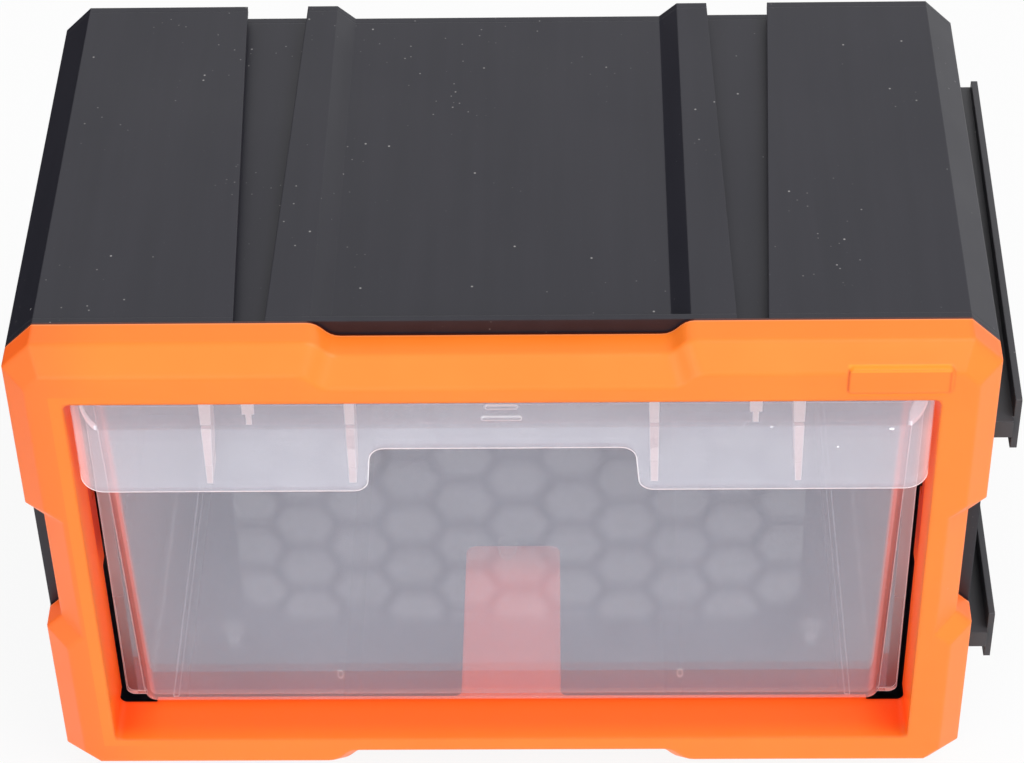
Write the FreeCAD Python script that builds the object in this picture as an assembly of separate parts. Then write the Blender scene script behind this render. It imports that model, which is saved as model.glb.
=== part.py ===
import FreeCAD, Part
import math
import os

from FreeCAD import Vector

# Stackable small-parts cabinet with one clear drawer, in millimetres.
# X runs across the front, Y from the front to the back, Z up.
# The origin lies on the surface the cabinet stands on, midway between the two base rails.

# Black shell
body_width = 256.0
body_height = 162.0
body_depth = 151.0
corner_chamfer = 7.8
shell_wall = 2.2
front_flange = 1.8
panel_recess_floor_half = 43.8
panel_recess_slope = 5.0
recess_depth = 4.5

# Orange bezel, measured back from its front face
bezel_depth = 14.5
bezel_bevel = 6.3
bezel_wall = 2.0
bezel_border = 15.5
bezel_edge_radius = 1.2
edge_steps = 3
opening_corner_radius = 2.0
bezel_recess_inset = 0.6
recess_corner_radius = 5.0
recess_corner_steps = 3
corner_room_share = 0.45
side_notch_floor_half = 19.8
side_notch_depth = 4.5
clip_tab_depth = 22.0
clip_tab_half_height = 13.0
sill_side_gap = 10.5
window_gap = 0.3

# Bare plate on the bezel's upper right corner
badge_width = 26.5
badge_height = 8.0
badge_from_side = 13.0
badge_from_top = 4.7
badge_raise = 0.4
badge_radius = 1.3

# Snap hooks that hold the bezel behind the shell's front flange
hook_width = 12.0
hook_reach = 1.3
hook_gap = 0.1
hook_length = 2.0
hook_across = 72.0

# Stop tongue on the bezel's sill
tongue_front_half = 14.3
tongue_rear_half = 14.1
tongue_end = 76.3
tongue_corner_radius = 3.0
tongue_root_radius = 1.8

# Male rails and the slots that take them. Distances run from the middle of the face.
# Each wedge is (near edge at front, far edge at front, near edge at rear, far edge at rear).
seat_gap = 0.3
rail_back_gap = 7.3
rail_flange = 1.8
rail_corner_radius = 0.6
side_web = (38.0, 43.8, 36.0, 55.5)
side_flange = (32.2, 49.8, 30.4, 58.0)
side_rail_height = 8.2
base_web = (60.7, 68.3, 57.8, 74.1)
base_flange_overhang = 1.6
base_rail_height = 3.95
housing_wall = 2.0

# Honeycomb back wall
cell_across_flats = 17.9
cell_pitch = 20.7
cell_offset = 3.6
smallest_cell_share = 0.12
honeycomb_side_margin = 33.0
honeycomb_end_margin = 30.2
honeycomb_corner = 12.0
keyhole_from_side = 28.0
keyhole_from_top = 27.0
keyhole_head_radius = 4.5
keyhole_neck_radius = 2.3
keyhole_neck_rise = 7.5

# Ribs inside the shell
runner_rib_thickness = 1.8
runner_rib_gap = 0.9
guide_rib_thickness = 1.5
guide_rib_gap = 2.5
guide_rib_length = 85.5
guide_rib_overlap = 1.8
guide_rib_play = 5.0

# Clear drawer, inside the bezel's opening
drawer_front = 13.0
drawer_draft = 2.6
drawer_lift = 0.9
drawer_wall = 1.5
drawer_corner_radius = 4.0
drawer_floor_radius = 2.4
drawer_inner_radius = 1.2
rim_below_head = 12.75
rim_thickness = 1.5
rim_side_gap = 0.9
rim_back_gap = 1.3
rim_side_overhang = 3.5
rim_back_overhang = 1.1
rim_front_radius = 20.0
rim_corner_depth = 18.0
rim_back_radius = 6.0
wing_front = 16.0
wing_thickness = 1.3
wing_side_gap = 1.9
wing_foot = 0.8
wing_corner_radius = 2.5
blend_radius = 0.3
runner_from_side = 8.9
runner_width = 1.5
runner_height = 0.6
stop_tab_half_width = 10.0
stop_tab_thickness = 2.0
stop_gap = 0.3

# Handle plate across the drawer's top front
plate_front = 2.4
plate_thickness = 1.8
plate_side_gap = 1.4
plate_top_gap = 0.6
plate_height = 33.3
plate_bottom_radius = 5.8
plate_top_radius = 2.0
notch_height = 15.4
notch_top_half = 34.5
notch_flare = 1.3
notch_radius = 4.0
web_foot = 1.4
inner_web_widths = (1.9, 2.7)
outer_web_widths = (1.5, 3.3)
inner_web_from_notch = 4.9
outer_web_from_plate_end = 32.8
gusset_top_depth = 1.0
gusset_below_plate_top = 1.0
pin_from_plate_end = 45.5
pin_width = 1.5
pin_head_width = 3.2
pin_head_height = 6.0
gate_bar_half_widths = (4.2, 5.2)
gate_bars_below_plate_top = (3.0, 7.0)
gate_bar_height = 1.3
gate_bar_raise = 0.4
gate_bar_roundness = 0.45

# Places of the body that follow from the sizes above
front = -body_depth / 2
back = body_depth / 2
bottom = base_rail_height
top = bottom + body_height
middle = bottom + body_height / 2
half_width = body_width / 2
joint_plane = front + bezel_depth
flange_back = joint_plane + front_flange
inner_back = back - shell_wall
rail_front = flange_back + seat_gap
rail_back = back - rail_back_gap
opening_half_width = half_width - bezel_border
opening_sill = bottom + bezel_border
opening_head = top - bezel_border
collar_back = flange_back + 2 * hook_gap + hook_length
sill_back = flange_back
sill_half_width = opening_half_width - sill_side_gap

# Places of the drawer
drawer_floor = opening_sill + drawer_lift
rim_underside = opening_head - rim_below_head
rim_top = rim_underside + rim_thickness
rim_half_width = opening_half_width - rim_side_gap
rim_back = inner_back - rim_back_gap
bin_half_at_rim = rim_half_width - rim_side_overhang
bin_half_at_floor = bin_half_at_rim - drawer_draft
bin_back_at_rim = rim_back - rim_back_overhang
bin_back_at_floor = bin_back_at_rim - drawer_draft
runner_across = bin_half_at_floor - runner_from_side
plate_half_width = opening_half_width - plate_side_gap
plate_top = opening_head - plate_top_gap
plate_bottom = plate_top - plate_height
plate_back = front + plate_front + plate_thickness
web_depth = drawer_front - plate_front - plate_thickness
notch_bottom_half = notch_top_half + notch_flare
stop_tab_front = bin_back_at_floor - stop_tab_thickness
drawer_travel = stop_tab_front - (front + tongue_end) - stop_gap


# Plain solids and outlines

def on_y(y):
    return lambda point: Vector(point[0], y, point[1])


def on_z(z):
    return lambda point: Vector(point[0], point[1], z)


def on_x(x):
    return lambda point: Vector(x, point[0], point[1])


def polygon(points, place):
    corners = [place(point) for point in points]
    return Part.makePolygon(corners + corners[:1])


def rounded_outline(points, radii, place):
    """A closed wire through the points, with an arc of the given radius at each corner."""
    edges = []
    ends = []
    for index, point in enumerate(points):
        here = place(point)
        before = (place(points[index - 1]) - here).normalize()
        after = (place(points[(index + 1) % len(points)]) - here).normalize()
        half_angle = before.getAngle(after) / 2
        setback = radii[index] / math.tan(half_angle)
        start = here + before * setback
        end = here + after * setback
        centre = here + (before + after).normalize() * (radii[index] / math.sin(half_angle))
        nearest = centre + (here - centre).normalize() * radii[index]
        edges.append(Part.Arc(start, nearest, end).toShape())
        ends.append((start, end))
    for index, (start, end) in enumerate(ends):
        previous_end = ends[index - 1][1]
        if previous_end.distanceToPoint(start) > 1e-6:
            edges.append(Part.makeLine(previous_end, start))
    return Part.Wire(Part.__sortEdges__(edges))


def raised(wire, direction):
    return Part.Face(wire).extrude(direction)


def prism_y(points, y_from, y_to):
    return raised(polygon(points, on_y(y_from)), Vector(0, y_to - y_from, 0))


def prism_z(points, z_from, z_to):
    return raised(polygon(points, on_z(z_from)), Vector(0, 0, z_to - z_from))


def prism_x(points, x_from, x_to):
    return raised(polygon(points, on_x(x_from)), Vector(x_to - x_from, 0, 0))


def block(x_from, x_to, y_from, y_to, z_from, z_to):
    size = (x_to - x_from, y_to - y_from, z_to - z_from)
    return Part.makeBox(size[0], size[1], size[2], Vector(x_from, y_from, z_from))


def rectangle(x_half, low, high):
    return [(-x_half, low), (x_half, low), (x_half, high), (-x_half, high)]


def fused(shapes):
    return shapes[0].multiFuse(shapes[1:]).removeSplitter() if len(shapes) > 1 else shapes[0]


def across_middle(shape):
    return shape.mirror(Vector(0, 0, 0), Vector(1, 0, 0))


def over_middle_height(shape):
    return shape.mirror(Vector(0, 0, middle), Vector(0, 0, 1))


# Outlines of the body, seen from the front

def body_outline(recess_floor_half=None, recess_slope=None, notched=False):
    """The chamfered rectangle, with a shallow recess top and bottom and a notch each side."""
    quarter = []
    if notched:
        quarter.append((half_width - side_notch_depth, side_notch_floor_half))
        quarter.append((half_width, side_notch_floor_half + side_notch_depth))
    half_height = body_height / 2
    quarter.append((half_width, half_height - corner_chamfer))
    quarter.append((half_width - corner_chamfer, half_height))
    if recess_floor_half:
        quarter.append((recess_floor_half + recess_slope, half_height))
        quarter.append((recess_floor_half, half_height - recess_depth))
    return four_fold(quarter)


def four_fold(quarter):
    """A closed outline from the points of its upper right quarter, given about the body's middle."""
    around = list(quarter)
    around += [(-x, z) for x, z in reversed(quarter)]
    around += [(-x, -z) for x, z in quarter]
    around += [(x, -z) for x, z in reversed(quarter)]
    return [(x, middle + z) for x, z in around]


def inset(points, distance):
    """The outline moved inwards by one distance on every edge."""
    moved = []
    for index, here in enumerate(points):
        before = points[index - 1]
        after = points[(index + 1) % len(points)]
        turn_in = unit(before, here)
        turn_out = unit(here, after)
        cross = turn_in[0] * turn_out[1] - turn_in[1] * turn_out[0]
        dot = turn_in[0] * turn_out[0] + turn_in[1] * turn_out[1]
        along = distance * math.tan(math.atan2(cross, dot) / 2)
        moved.append((here[0] - turn_in[1] * distance - turn_in[0] * along,
                      here[1] + turn_in[0] * distance - turn_in[1] * along))
    return moved


def unit(start, end):
    length = math.hypot(end[0] - start[0], end[1] - start[1])
    return ((end[0] - start[0]) / length, (end[1] - start[1]) / length)


# Slots and rails

def wedge(edges, grow, y_from, y_to):
    """Plan of a rail: it is narrow at the front and widens to the rear."""
    near_front, far_front, near_rear, far_rear = edges
    return [(y_from, near_front - grow), (y_from, far_front + grow),
            (y_to, far_rear + grow), (y_to, near_rear - grow)]


def stretched(edges, y_from, y_to):
    """The same wedge with its tapered sides carried on past both ends of the rail."""
    near_front, far_front, near_rear, far_rear = edges
    ahead = (y_from - rail_front) / (rail_back - rail_front)
    behind = (y_to - rail_front) / (rail_back - rail_front)
    near_taper = near_rear - near_front
    far_taper = far_rear - far_front
    return (near_front + ahead * near_taper, far_front + ahead * far_taper,
            near_front + behind * near_taper, far_front + behind * far_taper)


def side_wedge(edges, grow, y_from, y_to, x_from, x_to):
    outline = [(y, middle + across) for y, across in wedge(edges, grow, y_from, y_to)]
    return prism_x(outline, x_from, x_to)


def level_wedge(edges, grow, y_from, y_to, z_from, z_to):
    outline = [(across, y) for y, across in wedge(edges, grow, y_from, y_to)]
    return prism_z(outline, z_from, z_to)


base_flange = (base_web[0] - base_flange_overhang, base_web[1] + base_flange_overhang,
               base_web[2] - base_flange_overhang, base_web[3] + base_flange_overhang)


def side_rail():
    """T rail on the right side: a web that reaches the bezel and a flange along its outer edge."""
    flange_x = half_width + side_rail_height - rail_flange
    web_front = joint_plane + seat_gap
    web = side_wedge(stretched(side_web, web_front, rail_back), 0, web_front, rail_back,
                     half_width, flange_x)
    outline = [(y, middle + across) for y, across
               in wedge(side_flange, 0, rail_front, rail_back)]
    radii = [rail_corner_radius] * 4
    plate = raised(rounded_outline(outline, radii, on_x(flange_x)), Vector(rail_flange, 0, 0))
    return fused([web, plate])


def base_rail():
    """T rail under the body, which the cabinet stands on and which fits the slots on top."""
    web = level_wedge(base_web, 0, rail_front, rail_back, rail_flange, bottom)
    outline = [(across, y) for y, across
               in wedge(base_flange, 0, rail_front, rail_back)]
    plate = raised(rounded_outline(outline, [rail_flange] * 4, on_z(0)), Vector(0, 0, rail_flange))
    return fused([web, plate])


def top_slot():
    """The space of one slot in the top, open at the surface and from the bezel through the back."""
    mouth = stretched(base_web, joint_plane, back)
    cavity = stretched(base_flange, joint_plane, back)
    lip_underside = top - (base_rail_height - rail_flange - seat_gap)
    slot_floor = top - base_rail_height - seat_gap
    return fused([level_wedge(mouth, seat_gap, joint_plane, back, slot_floor, top),
                  level_wedge(cavity, seat_gap, joint_plane, back, slot_floor, lip_underside)])


def top_slot_housing():
    grow = seat_gap + housing_wall
    floor_underside = top - base_rail_height - seat_gap - housing_wall
    return level_wedge(stretched(base_flange, flange_back, back), grow, flange_back, back,
                       floor_underside, top - shell_wall / 2)


def side_slot():
    """The space of one slot in the left side, as deep as the rails on the right stand out."""
    mouth = stretched(side_web, joint_plane, back)
    cavity = stretched(side_flange, joint_plane, back)
    slot_floor = -half_width + side_rail_height + seat_gap
    lip_inside = -half_width + side_rail_height - rail_flange - seat_gap
    return fused([side_wedge(mouth, seat_gap, joint_plane, back, -half_width, slot_floor),
                  side_wedge(cavity, seat_gap, joint_plane, back, lip_inside, slot_floor)])


def side_slot_housing():
    grow = seat_gap + housing_wall
    mouth = stretched(side_web, flange_back, back)
    cavity = stretched(side_flange, flange_back, back)
    lip_inside = -half_width + side_rail_height - rail_flange - seat_gap
    inner = -half_width + side_rail_height + seat_gap + housing_wall
    wall_middle = -half_width + shell_wall / 2
    return fused([side_wedge(mouth, grow, flange_back, back, wall_middle, inner),
                  side_wedge(cavity, grow, flange_back, back, lip_inside - housing_wall, inner)])


# The black shell, made whole and then parted where its walls meet

def window_outline(grow):
    return [(-opening_half_width - grow, opening_sill - grow),
            (opening_half_width + grow, opening_sill - grow),
            (opening_half_width + grow, opening_head + grow),
            (-opening_half_width - grow, opening_head + grow)]


def window(grow, y_from, y_to):
    radii = [opening_corner_radius + grow] * 4
    wire = rounded_outline(window_outline(grow), radii, on_y(y_from))
    return raised(wire, Vector(0, y_to - y_from, 0))


def runner_rib():
    """Floor rib that the drawer's runner slides on, level with the bezel's sill."""
    return block(runner_across - runner_rib_thickness / 2, runner_across + runner_rib_thickness / 2,
                 sill_back + runner_rib_gap, inner_back, bottom + shell_wall / 2, opening_sill)


def guide_rib():
    """Rib above the drawer's rim that keeps the drawer's rear end down when it is out."""
    low = rim_top + guide_rib_play
    start = front + clip_tab_depth + guide_rib_gap
    return block(rim_half_width - guide_rib_overlap, half_width - shell_wall / 2,
                 start, start + guide_rib_length, low, low + guide_rib_thickness)


def keyhole():
    """Wall-hanging hole: a round head with a narrow neck above it."""
    across = half_width - keyhole_from_side
    height = top - keyhole_from_top
    neck_height = height + keyhole_neck_rise
    head = Part.makeCylinder(keyhole_head_radius, shell_wall,
                             Vector(across, inner_back, height), Vector(0, 1, 0))
    neck_end = Part.makeCylinder(keyhole_neck_radius, shell_wall,
                                 Vector(across, inner_back, neck_height), Vector(0, 1, 0))
    neck = block(across - keyhole_neck_radius, across + keyhole_neck_radius,
                 inner_back, back, height, neck_height)
    return fused([head, neck_end, neck])


def honeycomb():
    """Open hexagonal cells, clipped to the field they fill on the back wall."""
    corner_radius = cell_across_flats / math.sqrt(3)
    column_pitch = cell_pitch * math.sqrt(3) / 2
    field_half = half_width - honeycomb_side_margin
    field_half_height = body_height / 2 - honeycomb_end_margin
    columns = int((field_half + corner_radius) / column_pitch)
    rows = int(field_half_height / cell_pitch) + 2
    quarter = [(field_half, field_half_height - honeycomb_corner),
               (field_half - honeycomb_corner, field_half_height)]
    limit = prism_y(four_fold(quarter), inner_back, back)
    cells = []
    for column in range(-columns, columns + 1):
        drop = cell_pitch / 2 if column % 2 else 0
        for row in range(-rows, rows + 1):
            x = column * column_pitch
            z = middle + cell_offset + row * cell_pitch - drop
            corners = [(x + corner_radius * math.cos(math.radians(60 * step)),
                        z + corner_radius * math.sin(math.radians(60 * step))) for step in range(6)]
            cell = prism_y(corners, inner_back, back).common(limit)
            if cell.Volume > smallest_cell_share * cell_pitch * cell_pitch * shell_wall:
                cells.append(cell)
    return cells


def shell():
    outline = body_outline(panel_recess_floor_half, panel_recess_slope)
    walls = prism_y(outline, flange_back, back)
    walls = walls.cut(prism_y(inset(outline, shell_wall), flange_back, inner_back))
    flange = prism_y(body_outline(), joint_plane, flange_back)
    flange = flange.cut(window(bezel_wall + window_gap, joint_plane, flange_back))
    housings = [top_slot_housing(), side_slot_housing()]
    housings.append(across_middle(housings[0]))
    housings.append(over_middle_height(housings[1]))
    guide_ribs = [guide_rib(), across_middle(guide_rib())]
    whole = fused([walls, flange] + housings + guide_ribs)
    slots = [top_slot(), across_middle(top_slot()), side_slot(), over_middle_height(side_slot())]
    openings = slots + honeycomb() + [keyhole(), across_middle(keyhole())]
    return whole.cut(openings)


def shell_parts():
    whole = shell()
    far = body_width
    low_edge = bottom + corner_chamfer
    high_edge = top - corner_chamfer
    regions = {
        "front_flange": block(-far, far, joint_plane, flange_back, -far, far),
        "honeycomb_back": block(-far, far, inner_back, back, -far, far),
        "top_panel": block(-far, far, flange_back, inner_back, high_edge, far),
        "bottom_panel": block(-far, far, flange_back, inner_back, -far, low_edge),
        "left_side": block(-far, 0, flange_back, inner_back, low_edge, high_edge),
        "right_side": block(0, far, flange_back, inner_back, low_edge, high_edge),
    }
    parts = {name: whole.common(region) for name, region in regions.items()}
    runner_ribs = [runner_rib(), across_middle(runner_rib())]
    parts["bottom_panel"] = fused([parts["bottom_panel"]] + runner_ribs)
    return parts


# The orange bezel

def arc_steps(corner, before, after, radius, count):
    """Points along the arc that rounds a corner between two unit directions away from it."""
    dot = before[0] * after[0] + before[1] * after[1]
    half_angle = math.acos(dot) / 2
    middle_x = before[0] + after[0]
    middle_y = before[1] + after[1]
    length = math.hypot(middle_x, middle_y)
    reach = radius / math.sin(half_angle)
    centre = (corner[0] + middle_x / length * reach, corner[1] + middle_y / length * reach)
    setback = radius / math.tan(half_angle)
    first = math.atan2(corner[1] + before[1] * setback - centre[1],
                       corner[0] + before[0] * setback - centre[0])
    last = math.atan2(corner[1] + after[1] * setback - centre[1],
                      corner[0] + after[0] * setback - centre[0])
    turn = (last - first + math.pi) % (2 * math.pi) - math.pi
    return [(centre[0] + radius * math.cos(first + turn * step / count),
             centre[1] + radius * math.sin(first + turn * step / count)) for step in range(count + 1)]


def edge_profile(wall):
    """Steps of (inset, y) from the joint plane, along the straight wall and the bevel, to the face."""
    slope = wall * (math.sqrt(2) - 1)
    bevel_start = (wall, front + bezel_bevel + slope)
    bevel_end = (bezel_bevel + slope, front + wall)
    steps = [(wall, joint_plane)]
    if wall:
        return steps + [bevel_start, bevel_end]
    diagonal = math.sqrt(0.5)
    steps += arc_steps(bevel_start, (0, 1), (diagonal, -diagonal), bezel_edge_radius, edge_steps)
    steps += arc_steps(bevel_end, (-diagonal, diagonal), (1, 0), bezel_edge_radius, edge_steps)
    return steps


def softened(points, within):
    """The outline with an arc of short steps at each corner that lies within a distance of the middle."""
    softer = []
    for index, here in enumerate(points):
        if abs(here[0]) > within:
            softer.append(here)
            continue
        sides = (points[index - 1], points[(index + 1) % len(points)])
        before, after = (unit(here, other) for other in sides)
        half_angle = math.acos(before[0] * after[0] + before[1] * after[1]) / 2
        room = min(math.dist(here, other) for other in sides) * math.tan(half_angle) * corner_room_share
        softer += arc_steps(here, before, after, min(recess_corner_radius, room), recess_corner_steps)
    return softer


def bezel_block(wall):
    recess_half = panel_recess_floor_half - bezel_recess_inset
    outline = body_outline(recess_half, recess_depth, notched=True)
    within = recess_half + recess_depth + bezel_bevel
    rings = [polygon(softened(inset(outline, distance), within), on_y(y))
             for distance, y in edge_profile(wall)]
    return Part.makeLoft(rings, True, True)


def badge():
    high = top - badge_from_top
    low = high - badge_height
    right = half_width - badge_from_side
    left = right - badge_width
    outline = [(left, low), (right, low), (right, high), (left, high)]
    wire = rounded_outline(outline, [badge_radius] * 4, on_y(front - badge_raise))
    return raised(wire, Vector(0, badge_raise + bezel_bevel / 2, 0))


def sill():
    """Lip under the drawer's front that rests in the window of the shell's flange."""
    return block(-sill_half_width, sill_half_width, joint_plane, sill_back,
                 opening_sill - bezel_wall, opening_sill)


def collar():
    """Wall that lines the opening. Along the bottom it ends at the joint plane."""
    ring = window(bezel_wall, front + bezel_wall / 2, collar_back)
    outside = opening_half_width + bezel_wall
    relief = block(-outside, outside, joint_plane, collar_back,
                   opening_sill - bezel_wall, opening_sill + opening_corner_radius)
    return ring.cut(relief)


def bezel():
    tab = block(opening_half_width, opening_half_width + bezel_wall, front + bezel_wall,
                front + clip_tab_depth, middle - clip_tab_half_height, middle + clip_tab_half_height)
    frame = bezel_block(0).cut(bezel_block(bezel_wall))
    frame = fused([frame, collar(), sill(), tab, across_middle(tab), badge()])
    return frame.cut(window(0, front - badge_raise, collar_back))


def hook(length_from, out):
    """Wedge behind the flange, steep at the front and sloping off to the rear."""
    start = flange_back + hook_gap
    return [(start, length_from), (start, length_from + out), (start + hook_length, length_from)]


def snap_hooks():
    """Two hooks on the collar's top, one on each side and one under the root of the stop tongue."""
    side_wall = opening_half_width + bezel_wall
    side = prism_z([(x, y) for y, x in hook(side_wall, hook_reach)],
                   middle - hook_width / 2, middle + hook_width / 2)
    head = prism_x(hook(opening_head + bezel_wall, hook_reach),
                   hook_across - hook_width / 2, hook_across + hook_width / 2)
    foot = prism_x(hook(opening_sill - bezel_wall, -hook_reach), -hook_width / 2, hook_width / 2)
    return Part.makeCompound([side, across_middle(side), head, across_middle(head), foot])


def stop_tongue():
    """Springy tongue that reaches back from the sill and catches the drawer's stop tab."""
    root_half = tongue_front_half + 2 * tongue_root_radius
    half_outline = [(root_half, joint_plane), (root_half, sill_back), (tongue_front_half, sill_back),
                    (tongue_rear_half, front + tongue_end)]
    half_radii = [blend_radius, blend_radius, tongue_root_radius, tongue_corner_radius]
    outline = half_outline + [(-x, y) for x, y in reversed(half_outline)]
    wire = rounded_outline(outline, half_radii + half_radii[::-1], on_z(opening_sill - bezel_wall))
    return raised(wire, Vector(0, 0, bezel_wall)).cut(sill())


# The clear drawer

def bin_outline(height, wall):
    """The drawer box in plan at one height, with its sides and rear leaning out to the rim."""
    share = (height - drawer_floor) / (rim_underside - drawer_floor)
    half = bin_half_at_floor + share * drawer_draft - wall
    near = front + drawer_front + wall
    far = bin_back_at_floor + share * drawer_draft - wall
    outline = [(-half, near), (half, near), (half, far), (-half, far)]
    return rounded_outline(outline, [drawer_corner_radius - wall] * 4, on_z(height))


def bin_block(wall, floor, lid, radius):
    solid = Part.makeLoft([bin_outline(floor, wall), bin_outline(lid, wall)], True, True)
    low_edges = [edge for edge in solid.Edges if edge.BoundBox.ZMax < floor + 0.01]
    return solid.makeFillet(radius, low_edges)


def wing():
    """Flat flange beside the drawer's front that hides the gap to the bezel."""
    low = drawer_floor + wing_foot
    near = bin_half_at_floor - drawer_corner_radius
    far = opening_half_width - wing_side_gap
    outline = [(near, low), (far, low), (far, rim_underside), (near, rim_underside)]
    radii = [blend_radius, wing_corner_radius, blend_radius, blend_radius]
    wire = rounded_outline(outline, radii, on_y(front + wing_front))
    return raised(wire, Vector(0, wing_thickness, 0))


def drawer_rim():
    """Flat rim round the bin's mouth, whose front part closes the top of the finger gap."""
    rim_front = front + rim_corner_depth - rim_front_radius
    outline = [(-rim_half_width, rim_front), (rim_half_width, rim_front),
               (rim_half_width, rim_back), (-rim_half_width, rim_back)]
    radii = [rim_front_radius] * 2 + [rim_back_radius] * 2
    slab = raised(rounded_outline(outline, radii, on_z(rim_underside)),
                  Vector(0, 0, rim_thickness))
    slab = slab.cut(block(-half_width, half_width, rim_front, plate_back, bottom, top))
    return slab.cut(raised(bin_outline(rim_underside, drawer_wall), Vector(0, 0, rim_thickness)))


def runner(side):
    across = side * runner_across
    return block(across - runner_width / 2, across + runner_width / 2,
                 front + wing_front, bin_back_at_floor - drawer_floor_radius,
                 drawer_floor - runner_height, drawer_floor + drawer_wall / 2)


def stop_tab():
    low = opening_sill - bezel_wall - stop_gap
    return block(-stop_tab_half_width, stop_tab_half_width, stop_tab_front,
                 stop_tab_front + stop_tab_thickness, low, drawer_floor)


def drawer_bin():
    outer = bin_block(0, drawer_floor, rim_underside, drawer_floor_radius)
    hollow = bin_block(drawer_wall, drawer_floor + drawer_wall, rim_underside, drawer_inner_radius)
    return fused([outer, wing(), across_middle(wing()), runner(-1), runner(1)]).cut(hollow)


def web_width(widths, height):
    share = (height - plate_bottom) / plate_height
    return widths[0] + share * (widths[1] - widths[0])


def tapered_web(outer, widths, side, low, high, depth_low, depth_high):
    """Web behind the plate: upright on its outer side, thicker towards the top on its inner side."""
    rings = []
    for height, depth in ((low, depth_low), (high, depth_high)):
        inner = outer - web_width(widths, height)
        rings.append(polygon([(side * inner, plate_back), (side * outer, plate_back),
                              (side * outer, plate_back + depth), (side * inner, plate_back + depth)],
                             on_z(height)))
    return Part.makeLoft(rings, True, True)


def pin(side):
    """Small headed pin between the plate and the rim."""
    across = side * (plate_half_width - pin_from_plate_end)
    high = plate_top - gusset_below_plate_top
    stem = block(across - pin_width / 2, across + pin_width / 2,
                 plate_back, plate_back + gusset_top_depth, rim_top, high)
    head = block(across - pin_head_width / 2, across + pin_head_width / 2,
                 plate_back, plate_back + gusset_top_depth, high - pin_head_height, high)
    return fused([stem, head])


def handle_webs():
    """Webs between the plate and the bin's front, with gussets and pins above them on the rim."""
    webs = []
    places = [(notch_bottom_half + inner_web_from_notch, inner_web_widths),
              (plate_half_width - outer_web_from_plate_end, outer_web_widths)]
    for side in (-1, 1):
        for outer, widths in places:
            webs.append(tapered_web(outer, widths, side, plate_bottom + web_foot, rim_underside,
                                    web_depth, web_depth))
            webs.append(tapered_web(outer, widths, side, rim_top, plate_top - gusset_below_plate_top,
                                    web_depth, gusset_top_depth))
        webs.append(pin(side))
    return Part.makeCompound(webs)


def gate_bar(half, drop):
    """Small raised bar in the middle of the plate."""
    low = plate_top - drop - gate_bar_height / 2
    radii = [gate_bar_height * gate_bar_roundness] * 4
    wire = rounded_outline(rectangle(half, low, low + gate_bar_height), radii,
                           on_y(front + plate_front - gate_bar_raise))
    return raised(wire, Vector(0, gate_bar_raise + plate_thickness / 2, 0))


def drawer_handle():
    """Upright plate across the drawer's front, with a finger notch in its lower edge."""
    notch_top = plate_bottom + notch_height
    outline = [(-plate_half_width, plate_bottom), (-notch_bottom_half, plate_bottom),
               (-notch_top_half, notch_top), (notch_top_half, notch_top),
               (notch_bottom_half, plate_bottom), (plate_half_width, plate_bottom),
               (plate_half_width, plate_top), (-plate_half_width, plate_top)]
    radii = [plate_bottom_radius] + [notch_radius] * 4 + [plate_bottom_radius]
    radii += [plate_top_radius] * 2
    wire = rounded_outline(outline, radii, on_y(front + plate_front))
    plate = raised(wire, Vector(0, plate_thickness, 0))
    bars = [gate_bar(half, drop) for half, drop
            in zip(gate_bar_half_widths, gate_bars_below_plate_top)]
    return fused([plate] + bars)


def main():
    os.makedirs("parts", exist_ok=True)
    parts = shell_parts()
    parts["lower_side_rail"] = over_middle_height(side_rail())
    parts["upper_side_rail"] = side_rail()
    parts["left_base_rail"] = across_middle(base_rail())
    parts["right_base_rail"] = base_rail()
    parts["front_bezel"] = bezel()
    parts["bezel_snap_hooks"] = snap_hooks()
    parts["stop_tongue"] = stop_tongue()
    parts["drawer_bin"] = drawer_bin()
    parts["drawer_rim"] = drawer_rim()
    parts["drawer_handle"] = drawer_handle()
    parts["handle_webs"] = handle_webs()
    parts["drawer_stop_tab"] = stop_tab()
    for name, shape in parts.items():
        shape.exportStep(os.path.join("parts", name + ".step"))
        size = shape.BoundBox
        print("%-18s solids %d valid %s volume %9.0f  x %7.1f %7.1f  y %7.1f %7.1f  z %6.1f %6.1f" % (
            name, len(shape.Solids), shape.isValid(), shape.Volume,
            size.XMin, size.XMax, size.YMin, size.YMax, size.ZMin, size.ZMax))
    print("drawer travel %.1f mm" % drawer_travel)


main()
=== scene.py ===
"""The looks of a small parts cabinet: its three plastics, and the camera, floor and light."""

import math

import bpy
from mathutils import Matrix, Vector


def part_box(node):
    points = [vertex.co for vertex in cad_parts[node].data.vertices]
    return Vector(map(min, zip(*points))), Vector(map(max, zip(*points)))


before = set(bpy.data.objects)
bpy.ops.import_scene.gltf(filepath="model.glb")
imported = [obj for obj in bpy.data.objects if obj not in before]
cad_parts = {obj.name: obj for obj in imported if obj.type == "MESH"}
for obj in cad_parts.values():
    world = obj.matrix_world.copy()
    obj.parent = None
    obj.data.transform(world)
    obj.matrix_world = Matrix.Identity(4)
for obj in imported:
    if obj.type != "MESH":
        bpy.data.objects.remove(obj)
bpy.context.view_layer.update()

MM = 0.001

# The camera stands in front of the cabinet and looks down at it

CAMERA_PLACE = (19.2 * MM, -650.5 * MM, 690.3 * MM)
CAMERA_YAW = math.radians(-1.614)
CAMERA_PITCH = math.radians(-42.787)
CAMERA_ROLL = math.radians(-1.436)
SENSOR_WIDTH = 36.0
FOCAL_LENGTH = 108.56


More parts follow.
